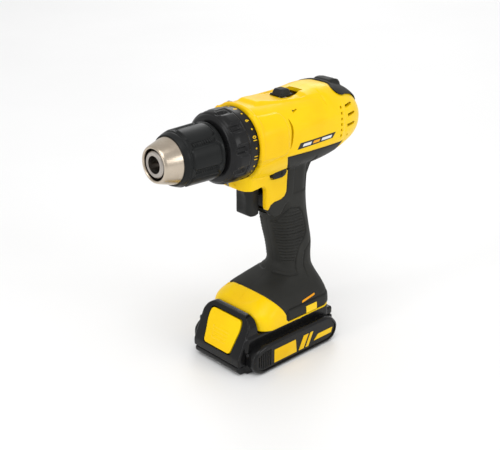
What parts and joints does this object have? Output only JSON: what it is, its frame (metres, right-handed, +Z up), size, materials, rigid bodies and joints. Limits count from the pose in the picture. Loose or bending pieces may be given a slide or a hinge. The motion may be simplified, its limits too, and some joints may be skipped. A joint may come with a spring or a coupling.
{
  "type": "cordless drill",
  "caption": "Compact cordless drill driver: keyless chuck, torque clutch dial, geared motor, pistol grip with trigger, and a slide-on battery pack it stands on.",
  "frame": {"origin": "middle of the battery pack's flat base, on the surface that the drill stands on", "axes": "+X forward along the chuck and out of its bore, +Y to the drill's left, +Z up"},
  "size_m": [0.2045, 0.075, 0.218],
  "materials": {
    "housing_yellow": "satin moulded yellow plastic with a fine spark texture",
    "grip_rubber": "matt over-moulded rubber",
    "screw_steel": "black zinc-plated steel",
    "gearbox_black": "glass-filled nylon",
    "gear_steel": "sintered steel",
    "bearing_steel": "ground steel",
    "spring_steel": "oiled spring wire",
    "bush_bronze": "sintered bronze",
    "can_steel": "zinc-plated drawn steel",
    "magnet_grey": "pressed ferrite",
    "bell_plastic": "glass-filled nylon",
    "carbon": "pressed carbon",
    "switch_black": "satin black plastic",
    "lamp_lens": "clear lens over a light-emitting diode",
    "lead_red": "silicone wire insulation",
    "lamination_steel": "stacked steel laminations",
    "copper_wire": "enamelled copper",
    "fan_plastic": "moulded nylon",
    "chuck_steel": "machined steel",
    "jaw_steel": "hardened ground steel",
    "chuck_black": "ribbed black nylon",
    "nose_nickel": "turned nickel-plated steel",
    "collar_black": "satin black plastic with yellow dial marks",
    "trigger_black": "satin black plastic",
    "pack_black": "semi-gloss black plastic",
    "cell_wrap": "shrink-wrapped cells",
    "latch_yellow": "glossy yellow plastic"
  },
  "bodies": {
    "root": {"left_housing": "housing_yellow", "right_housing": "housing_yellow", "left_grip": "grip_rubber", "right_grip": "grip_rubber", "rear_bumper": "grip_rubber", "housing_screws": "screw_steel", "gearbox_case": "gearbox_black", "motor_plate": "gearbox_black", "first_ring_gear": "gear_steel", "clutch_ring_gear": "gear_steel", "clutch_balls": "bearing_steel", "clutch_spring": "spring_steel", "spindle_bush": "bush_bronze", "motor_can": "can_steel", "front_bearing": "bearing_steel", "motor_magnets": "magnet_grey", "motor_end_bell": "bell_plastic", "carbon_brushes": "carbon", "trigger_switch": "switch_black", "work_lamp": "lamp_lens", "terminal_block": "bell_plastic", "motor_leads": "lead_red"},
    "rotor": {"rotor_shaft": "bearing_steel", "motor_pinion": "gear_steel", "rotor_core": "lamination_steel", "rotor_windings": "copper_wire", "commutator": "copper_wire", "cooling_fan": "fan_plastic"},
    "carrier_1": {"planet_carrier_1": "gear_steel"},
    "carrier_2": {"planet_carrier_2": "gear_steel"},
    "chuck": {"planet_carrier_3": "gear_steel", "output_spindle": "bearing_steel", "chuck_body": "chuck_steel", "chuck_screw": "screw_steel"},
    "sleeve": {"chuck_sleeve": "chuck_black", "chuck_nose_ring": "nose_nickel", "chuck_nut": "chuck_steel"},
    "clutch_dial": {"clutch_collar": "collar_black"},
    "clutch_slider": {"clutch_nut": "gearbox_black"},
    "trigger_key": {"trigger": "trigger_black"},
    "direction_key": {"direction_button": "trigger_black"},
    "selector": {"speed_selector": "trigger_black"},
    "shift": {"speed_ring_gear": "gear_steel", "shift_fork": "screw_steel"},
    "battery": {"pack_tray": "pack_black", "pack_lid": "pack_black", "battery_cells": "cell_wrap"},
    "latch": {"latch_button": "latch_yellow"},
    "planet_1a": {"planet_gear_1a": "gear_steel"},
    "planet_1b": {"planet_gear_1b": "gear_steel"},
    "planet_1c": {"planet_gear_1c": "gear_steel"},
    "planet_2a": {"planet_gear_2a": "gear_steel"},
    "planet_2b": {"planet_gear_2b": "gear_steel"},
    "planet_2c": {"planet_gear_2c": "gear_steel"},
    "planet_3a": {"planet_gear_3a": "gear_steel"},
    "planet_3b": {"planet_gear_3b": "gear_steel"},
    "planet_3c": {"planet_gear_3c": "gear_steel"},
    "jaw_a": {"chuck_jaw_a": "jaw_steel"},
    "jaw_b": {"chuck_jaw_b": "jaw_steel"},
    "jaw_c": {"chuck_jaw_c": "jaw_steel"}
  },
  "joints": [
    {"name": "motor_spin", "type": "hinge", "parent": "root", "child": "rotor", "pos_m": [-0.03, 0, 0.185], "axis": [1, 0, 0], "continuous": true},
    {"name": "carrier_1_spin", "type": "hinge", "parent": "root", "child": "carrier_1", "pos_m": [0.018, 0, 0.185], "axis": [1, 0, 0], "continuous": true},
    {"name": "carrier_2_spin", "type": "hinge", "parent": "root", "child": "carrier_2", "pos_m": [0.027, 0, 0.185], "axis": [1, 0, 0], "continuous": true},
    {"name": "chuck_spin", "type": "hinge", "parent": "root", "child": "chuck", "pos_m": [0.075, 0, 0.185], "axis": [1, 0, 0], "continuous": true},
    {"name": "planet_1a_spin", "type": "hinge", "parent": "carrier_1", "child": "planet_1a", "pos_m": [0.0137, 0.01155, 0.185], "axis": [1, 0, 0], "continuous": true},
    {"name": "planet_1b_spin", "type": "hinge", "parent": "carrier_1", "child": "planet_1b", "pos_m": [0.0137, -0.00577, 0.195], "axis": [1, 0, 0], "continuous": true},
    {"name": "planet_1c_spin", "type": "hinge", "parent": "carrier_1", "child": "planet_1c", "pos_m": [0.0137, -0.00577, 0.175], "axis": [1, 0, 0], "continuous": true},
    {"name": "planet_2a_spin", "type": "hinge", "parent": "carrier_2", "child": "planet_2a", "pos_m": [0.0226, 0.0117, 0.185], "axis": [1, 0, 0], "continuous": true},
    {"name": "planet_2b_spin", "type": "hinge", "parent": "carrier_2", "child": "planet_2b", "pos_m": [0.0226, -0.00585, 0.19513], "axis": [1, 0, 0], "continuous": true},
    {"name": "planet_2c_spin", "type": "hinge", "parent": "carrier_2", "child": "planet_2c", "pos_m": [0.0226, -0.00585, 0.17487], "axis": [1, 0, 0], "continuous": true},
    {"name": "planet_3a_spin", "type": "hinge", "parent": "chuck", "child": "planet_3a", "pos_m": [0.0328, 0.01125, 0.185], "axis": [1, 0, 0], "continuous": true},
    {"name": "planet_3b_spin", "type": "hinge", "parent": "chuck", "child": "planet_3b", "pos_m": [0.0328, -0.00562, 0.19474], "axis": [1, 0, 0], "continuous": true},
    {"name": "planet_3c_spin", "type": "hinge", "parent": "chuck", "child": "planet_3c", "pos_m": [0.0328, -0.00562, 0.17526], "axis": [1, 0, 0], "continuous": true},
    {"name": "sleeve_turn", "type": "hinge", "parent": "chuck", "child": "sleeve", "pos_m": [0.08, 0, 0.185], "axis": [1, 0, 0], "range_deg": [0, 4500]},
    {"name": "jaw_a_slide", "type": "slide", "parent": "chuck", "child": "jaw_a", "axis": [0.9613, 0, -0.2756], "range_m": [0, 0.0225]},
    {"name": "jaw_b_slide", "type": "slide", "parent": "chuck", "child": "jaw_b", "axis": [0.9613, 0.2387, 0.1378], "range_m": [0, 0.0225]},
    {"name": "jaw_c_slide", "type": "slide", "parent": "chuck", "child": "jaw_c", "axis": [0.9613, -0.2387, 0.1378], "range_m": [0, 0.0225]},
    {"name": "clutch_turn", "type": "hinge", "parent": "root", "child": "clutch_dial", "pos_m": [0.048, 0, 0.185], "axis": [1, 0, 0], "range_deg": [0, 300]},
    {"name": "clutch_nut_slide", "type": "slide", "parent": "root", "child": "clutch_slider", "axis": [-1, 0, 0], "range_m": [0, 0.003], "deforming": ["clutch_spring"]},
    {"name": "trigger_pull", "type": "slide", "parent": "root", "child": "trigger_key", "axis": [-1, 0, 0], "range_m": [0, 0.008], "stiffness_N_per_m": 1200, "springref_m": -0.001},
    {"name": "direction_push", "type": "slide", "parent": "root", "child": "direction_key", "axis": [0, 1, 0], "range_m": [-0.0028, 0.0028]},
    {"name": "speed_shift", "type": "slide", "parent": "root", "child": "selector", "axis": [-1, 0, 0], "range_m": [0, 0.007]},
    {"name": "ring_shift", "type": "slide", "parent": "root", "child": "shift", "axis": [-1, 0, 0], "range_m": [0, 0.0035]},
    {"name": "battery_slide", "type": "slide", "parent": "root", "child": "battery", "axis": [1, 0, 0], "range_m": [0, 0.12]},
    {"name": "latch_press", "type": "slide", "parent": "battery", "child": "latch", "axis": [-0.9087, 0, -0.4175], "range_m": [0, 0.003], "stiffness_N_per_m": 2000, "springref_m": -0.001}
  ],
  "couplings": [
    {"joint": "carrier_1_spin", "follows": "motor_spin", "ratio": 0.27273},
    {"joint": "carrier_2_spin", "follows": "motor_spin", "ratio": 0.079545},
    {"joint": "chuck_spin", "follows": "motor_spin", "ratio": 0.019886},
    {"joint": "planet_1a_spin", "follows": "motor_spin", "ratio": -0.87273},
    {"joint": "planet_1b_spin", "follows": "motor_spin", "ratio": -0.87273},
    {"joint": "planet_1c_spin", "follows": "motor_spin", "ratio": -0.87273},
    {"joint": "planet_2a_spin", "follows": "motor_spin", "ratio": -0.27045},
    {"joint": "planet_2b_spin", "follows": "motor_spin", "ratio": -0.27045},
    {"joint": "planet_2c_spin", "follows": "motor_spin", "ratio": -0.27045},
    {"joint": "planet_3a_spin", "follows": "motor_spin", "ratio": -0.059659},
    {"joint": "planet_3b_spin", "follows": "motor_spin", "ratio": -0.059659},
    {"joint": "planet_3c_spin", "follows": "motor_spin", "ratio": -0.059659},
    {"joint": "jaw_a_slide", "follows": "sleeve_turn", "m_per_rad": 0.00028648},
    {"joint": "jaw_b_slide", "follows": "sleeve_turn", "m_per_rad": 0.00028648},
    {"joint": "jaw_c_slide", "follows": "sleeve_turn", "m_per_rad": 0.00028648},
    {"joint": "clutch_nut_slide", "follows": "clutch_turn", "m_per_rad": 0.00057296},
    {"joint": "ring_shift", "follows": "speed_shift", "ratio": 0.5}
  ]
}
